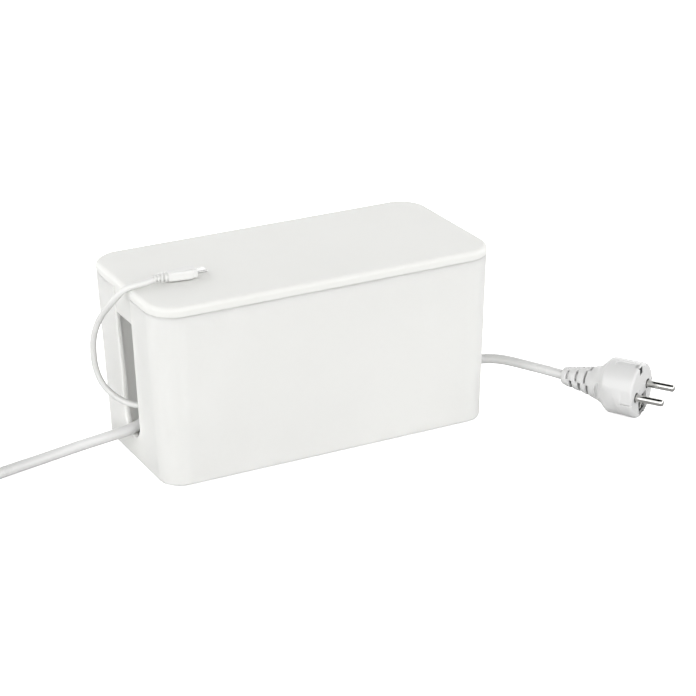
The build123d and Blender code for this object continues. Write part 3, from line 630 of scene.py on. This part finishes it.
# ---------------------------------------------------------------- straps round the coils
def strap(name, node, origin, across, half_a, half_b, half_len, thick, corner, step):
    """A woven strap round a bundle: across is the bundle's width direction, the strap's own width runs along it."""
    a = np.array((math.cos(across), math.sin(across), 0.0))
    axes = [a, np.array((-a[1], a[0], 0.0)), np.array((0, 0, 1.0))]

    def field(x, y, z):
        ring = np.abs(round_section(x, z, half_a - thick / 2, half_b - thick / 2, corner) + 0.0) - thick / 2 * 0.96
        edge = np.abs(y) - half_len + 0.12 * np.cos(x * 1.9 + z * 1.3)
        d = blend_max(ring, edge, 0.3)
        # a stitched border along each edge
        stitch = np.maximum(np.abs(np.abs(y) - half_len + 0.9) - 0.16, -ring - 0.16)
        return np.maximum(d, -stitch)

    ob = field_mesh(name, field, (-half_a - 0.5, -half_len - 0.5, -half_b - 0.5), (half_a + 0.5, half_len + 0.5, half_b + 0.5), step, origin, axes, M_TIE)
    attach(ob, "box")
    stand_in(ob, "tie_strap", node)
    return ob


strap("hank_strap", "hank_tie", (HANK_X + 6, HANK_Y, 17.45), math.radians(90), 24.6, 14.2, 5.4, 0.8, 4.0, 0.3)
ANG = math.radians(-160)
strap("appliance_coil_strap", "appliance_coil_tie", (COIL_X + 38.6 * math.cos(ANG), COIL_Y + 38.6 * math.sin(ANG), 12.85), ANG, 8.25, 12.7, 4.9, 0.85, 3.8, 0.3)
ANG = math.radians(60)
strap("usb_coil_strap", "usb_coil_tie", (UC_X + 17.95 * math.cos(ANG), UC_Y + 17.95 * math.sin(ANG), 37.9), ANG, 4.8, 6.9, 2.4, 0.7, 2.0, 0.2)


# ---------------------------------------------------------------- cords
def ease(t):
    t = min(max(t, 0.0), 1.0)
    return t * t * (3 - 2 * t)


def turned(cx, cy, r, angle, z):
    """A corner of the polygon that a coil's turn of radius r touches from inside."""
    return (cx + r * math.cos(math.radians(angle)), cy + r * math.sin(math.radians(angle)), z)


def nurbs(name, pts, dia):
    cu = bpy.data.curves.new(name, "CURVE")
    cu.dimensions = "3D"
    sp = cu.splines.new("NURBS")
    sp.points.add(len(pts) - 1)
    for q, c in zip(sp.points, pts):
        q.co = (c[0] * MM, c[1] * MM, c[2] * MM, 1.0)
    sp.order_u = 3
    sp.use_endpoint_u = True
    cu.resolution_u = 10
    if dia:
        cu.bevel_depth = dia / 2 * MM
        cu.bevel_resolution = 7
        cu.use_fill_caps = True
    ob = bpy.data.objects.new(name, cu)
    top.objects.link(ob)
    return ob


def spline_length(ob):
    return path_length(spline_points(ob))


def spline_points(ob):
    """The points of a curve's own line."""
    cu = ob.data.copy()
    cu.bevel_depth = 0.0
    tmp = bpy.data.objects.new("tmp", cu)
    top.objects.link(tmp)
    bpy.context.view_layer.update()
    me = bpy.data.meshes.new_from_object(tmp)
    pts = [v.co.copy() for v in me.vertices]
    bpy.data.meshes.remove(me)
    bpy.data.objects.remove(tmp)
    bpy.data.curves.remove(cu)
    return pts


def path_length(pts):
    return sum((b - a).length for a, b in zip(pts, pts[1:]))


# mains lead: out of the strip, round the hank, out through the right slot to the plug
mains_pts = [
    (21.5, -25.0, 14.0), (36.0, -25.0, 14.0), (56.0, -25.0, 13.8), (73.0, -23.6, 13.2), (87.5, -14.4, 12.0),
    (94.6, 0.6, 10.4), (94.6, 17.2, 9.0), (87.6, 33.0, 8.0), (74.5, 43.6, 7.5), (60.0, 46.4, 7.5),
]
h = math.radians(11.25)
edge, corner = HANK_BEND * math.tan(h), HANK_BEND / math.cos(h)
xl, xr = HANK_X - HANK_RUN / 2, HANK_X + HANK_RUN / 2
for layer in range(4):
    z = HANK_Z + HANK_PITCH * layer
    mains_pts += [(xr - edge, HANK_Y + HANK_BEND, z), (xl + edge, HANK_Y + HANK_BEND, z)]
    mains_pts += [turned(xl, HANK_Y, corner, 101.25 + 22.5 * k, z) for k in range(8)]
    mains_pts.append((xl + edge, HANK_Y - HANK_BEND, z))
    if layer < 3:
        mains_pts.append((xr - edge, HANK_Y - HANK_BEND, z))
        for k in range(8):
            a = -78.75 + 22.5 * k
            mains_pts.append(turned(xr, HANK_Y, corner, a, z + HANK_PITCH * ease((a + 95) / 145)))
tail = PLUG_FACE - PLUG_AXIS * PLUG_TAIL
mains_pts += [
    (36.0, 5.8, 28.7), (50.0, 6.0, 29.7), (66.0, 6.2, 28.4), (81.5, 5.0, 24.8), (97.0, 2.9, 21.6),
    (111.5, 0.6, 19.8), (128.1, -3.4, 20.5), (144.5, -12.2, 21.9), (157.4, -31.0, 20.5), (165.2, -42.8, 19.8),
    tuple(tail),
]

# appliance lead: out of its plug, through the left slot, round the coil to the connector
ap_tail = 37.5 * math.cos(math.radians(45))
appl_pts = [
    (AP_X - ap_tail, STRIP_Y + ap_tail, 51.0), (-36.5, 10.5, 51.0), (-47.0, 16.6, 50.6), (-59.0, 18.4, 48.0),
    (-71.5, 16.2, 42.6), (-84.0, 11.8, 34.6), (-97.3, 5.8, 25.0), (-112.2, 1.8, 20.5), (-130.6, 4.9, 16.9),
    (-148.8, 13.3, 10.6), (-167.7, 18.5, 5.2), (-187.1, 17.1, 3.7), (-206.0, 12.0, 3.7), (-224.0, 10.5, 4.0),
]
TURN_AT = [0, 2.25, 2.5, 2.9, 3.0, 3.5, 3.9, 4.0, 4.3, 4.45]
TURN_Z = [4.5, 20.95, 21.1, 19.0, 18.6, 13.7, 11.5, 10.9, 5.2, 4.5]
f = 1 / math.cos(math.pi / 16)
for k in range(71):
    t = (k - 0.5) / 16
    r = COIL_IN + (COIL_OUT - COIL_IN) * ease((t - 2.25) / 0.25)
    appl_pts.append(turned(COIL_X, COIL_Y, r * f, -90 - 360 * t, float(np.interp(t, TURN_AT, TURN_Z))))
    if t > 4.4:
        break
appl_pts += [(-254.5, 88.6, 5.0), (-243.8, 95.4, 6.6), (-233.0, 102.6, 8.6)]

# charging lead: up out of its plug, round the small coil, out of the left slot and up over the lid
usb_pts = [
    (-86.0, -25.0, 77.0), (-85.4, -23.4, 86.5), (-81.5, -15.4, 93.6), (-75.4, -4.2, 93.4), (-69.0, 7.0, 86.4),
    (-63.5, 16.5, 75.4), (-60.0, 22.8, 63.8), (-58.2, 26.6, 53.4), (-56.0, 31.0, 45.8), (-52.4, 36.4, 42.4),
]
f = 1 / math.cos(math.pi / 12)
for k in range(56):
    t = 0.125 + (k + 0.5) / 12
    r = UC_IN + (UC_OUT - UC_IN) * ease((t - 2.28) / 0.22)
    z = float(np.interp(t, [0.125, 2.4, 2.5, 4.75], [42.4, 33.3, 33.3, 42.3]))
    usb_pts.append(turned(UC_X, UC_Y, r * f, 180 - 360 * t, z))
usb_pts += [
    (-50.0, 8.2, 42.0), (-63.0, 4.6, 44.4), (-77.0, 0.4, 46.6), (-91.5, -4.7, 49.6), (-101.9, -8.6, 47.4),
    (-110.1, -9.7, 39.7), (-117.7, -3.5, 40.5), (-124.5, 2.9, 44.8), (-130.0, 7.5, 51.9), (-132.9, 10.1, 61.8),
    (-133.9, 10.2, 72.9), (-133.8, 8.6, 84.5), (-131.2, 4.8, 96.3), (-127.9, -1.6, 105.4), (-124.9, -8.1, 112.7),
    (-120.7, -12.3, 119.9), (-114.3, -14.7, 122.6), (-107.5, -14.7, 122.6), (-100.4, -13.6, 123.8),
]


def tube_mesh(name, line, dia, sides=20):
    """A closed round tube along a line of points, without twist."""
    pts = [np.array(p) for p in line]
    keep = [pts[0]]
    for p in pts[1:]:
        if np.linalg.norm(p - keep[-1]) > 1e-6:
            keep.append(p)
    pts = np.array(keep)
    tan = np.gradient(pts, axis=0)
    tan /= np.linalg.norm(tan, axis=1)[:, None]
    n = np.cross(tan[0], (0.0, 0.0, 1.0) if abs(tan[0][2]) < 0.9 else (1.0, 0.0, 0.0))
    n /= np.linalg.norm(n)
    ang = np.linspace(0, 2 * math.pi, sides, endpoint=False)
    verts = []
    for p, t in zip(pts, tan):
        n = n - t * (n @ t)
        n /= np.linalg.norm(n)
        b = np.cross(t, n)
        verts += [p + (n * math.cos(a) + b * math.sin(a)) * dia / 2 * MM for a in ang]
    faces = []
    for i in range(len(pts) - 1):
        for j in range(sides):
            k = (j + 1) % sides
            faces.append((i * sides + j, i * sides + k, (i + 1) * sides + k, (i + 1) * sides + j))
    faces.append(tuple(range(sides))[::-1])
    faces.append(tuple((len(pts) - 1) * sides + j for j in range(sides)))
    me = bpy.data.meshes.new(name)
    me.from_pydata([tuple(v) for v in verts], [], faces)
    me.polygons.foreach_set("use_smooth", [len(f) == 4 for f in faces])
    ob = bpy.data.objects.new(name, me)
    top.objects.link(ob)
    return ob


mains = nurbs("mains_cord", mains_pts, MAINS_D)
paint(mains, M_LEAD)
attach(mains, "box")
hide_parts("mains_lead_inner", "mains_lead_hank", "mains_lead")
MAINS_LEN = spline_length(mains)

appl = nurbs("appliance_cord", appl_pts, APPL_D)
paint(appl, M_LEAD)
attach(appl, "box")
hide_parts("appliance_lead", "appliance_lead_coil", "appliance_lead_tail")
APPL_LEN = spline_length(appl)

usb_line_ob = nurbs("usb_line", usb_pts, 0)
usb_line = spline_points(usb_line_ob)
bpy.data.objects.remove(usb_line_ob)
usb = tube_mesh("usb_cord", usb_line, USB_D)
paint(usb, M_USB)
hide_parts("usb_lead_inner", "usb_lead_coil", "usb_lead", "usb_lead_end")
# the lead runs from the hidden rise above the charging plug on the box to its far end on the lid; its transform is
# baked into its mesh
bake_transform(usb)


# ---------------------------------------------------------------- floor and light
def floor():
    me = bpy.data.meshes.new("floor")
    n, s = 8, 12.0
    verts = [(-s + 2 * s * i / n, -s + 2 * s * j / n, 0.0) for j in range(n + 1) for i in range(n + 1)]
    faces = [(j * (n + 1) + i, j * (n + 1) + i + 1, (j + 1) * (n + 1) + i + 1, (j + 1) * (n + 1) + i) for j in range(n) for i in range(n)]
    me.from_pydata(verts, [], faces)
    ob = bpy.data.objects.new("floor", me)
    top.objects.link(ob)
    mat, nt, bsdf = material("floor_white")
    bsdf.inputs["Roughness"].default_value = 0.9
    bsdf.inputs["Specular IOR Level"].default_value = 0.1
    bsdf.inputs["Emission Color"].default_value = (1, 1, 1, 1)
    path = nt.nodes.new("ShaderNodeLightPath")
    tone = nt.nodes.new("ShaderNodeMapRange")
    tone.inputs["To Min"].default_value = 0.5
    tone.inputs["To Max"].default_value = 0.95
    link(nt, path.outputs["Is Camera Ray"], tone.inputs["Value"])
    link(nt, tone.outputs["Result"], bsdf.inputs["Base Color"])
    lift = nt.nodes.new("ShaderNodeMath")
    lift.operation = "MULTIPLY"
    lift.inputs[1].default_value = 0.7
    link(nt, path.outputs["Is Camera Ray"], lift.inputs[0])
    link(nt, lift.outputs["Value"], bsdf.inputs["Emission Strength"])
    paint(ob, mat)


floor()


def studio_world():
    """A light tent: bright round the sides, most of all in front, falling off to an open, dark top."""
    world = bpy.data.worlds.new("world")
    scene.world = world
    world.use_nodes = True
    nt = world.node_tree
    bg = nt.nodes["Background"]
    bg.inputs["Color"].default_value = (1, 1, 1, 1)
    tc = nt.nodes.new("ShaderNodeTexCoord")
    sep = nt.nodes.new("ShaderNodeSeparateXYZ")
    link(nt, tc.outputs["Generated"], sep.inputs["Vector"])
    lean = nt.nodes.new("ShaderNodeVectorMath")
    lean.operation = "DOT_PRODUCT"
    lean.inputs[1].default_value = (-0.05, -0.16, 0.0)
    link(nt, tc.outputs["Generated"], lean.inputs[0])
    front = nt.nodes.new("ShaderNodeMath")
    front.operation = "ADD"
    front.inputs[1].default_value = 1.0
    link(nt, lean.outputs["Value"], front.inputs[0])
    fall = nt.nodes.new("ShaderNodeValToRGB")
    stops = ((0.0, 1.0), (0.25, 0.78), (0.5, 0.62), (0.7, 0.46), (0.79, 0.1), (0.86, 0.0))
    ramp = fall.color_ramp.elements
    while len(ramp) < len(stops):
        ramp.new(0.5)
    for e, (at_z, level) in zip(ramp, stops):
        e.position = at_z
    for e, (at_z, level) in zip(ramp, stops):
        e.color = (level, level, level, 1)
    link(nt, sep.outputs["Z"], fall.inputs["Fac"])
    gain = nt.nodes.new("ShaderNodeMath")
    gain.operation = "MULTIPLY"
    gain.inputs[1].default_value = TENT
    link(nt, fall.outputs["Color"], gain.inputs[0])
    both = nt.nodes.new("ShaderNodeMath")
    both.operation = "MULTIPLY"
    link(nt, gain.outputs["Value"], both.inputs[0])
    link(nt, front.outputs["Value"], both.inputs[1])
    link(nt, both.outputs["Value"], bg.inputs["Strength"])


def softbox(name, azimuth, elevation, size, distance, power):
    """A round softbox aimed at the box. Azimuth runs from the front towards the left."""
    az, el = math.radians(azimuth), math.radians(elevation)
    target = Vector((0, 0, 0.05))
    d = Vector((-math.sin(az) * math.cos(el), -math.cos(az) * math.cos(el), math.sin(el)))
    li = bpy.data.lights.new(name, "AREA")
    li.shape = "DISK"
    li.size = size
    li.energy = power
    ob = bpy.data.objects.new(name, li)
    ob.location = target + d * distance
    ob.rotation_mode = "QUATERNION"
    ob.rotation_quaternion = (-d).to_track_quat("-Z", "Y")
    top.objects.link(ob)


TENT = 2.86
studio_world()
softbox("key", 62, 44, 0.6, 2.2, 5.0)
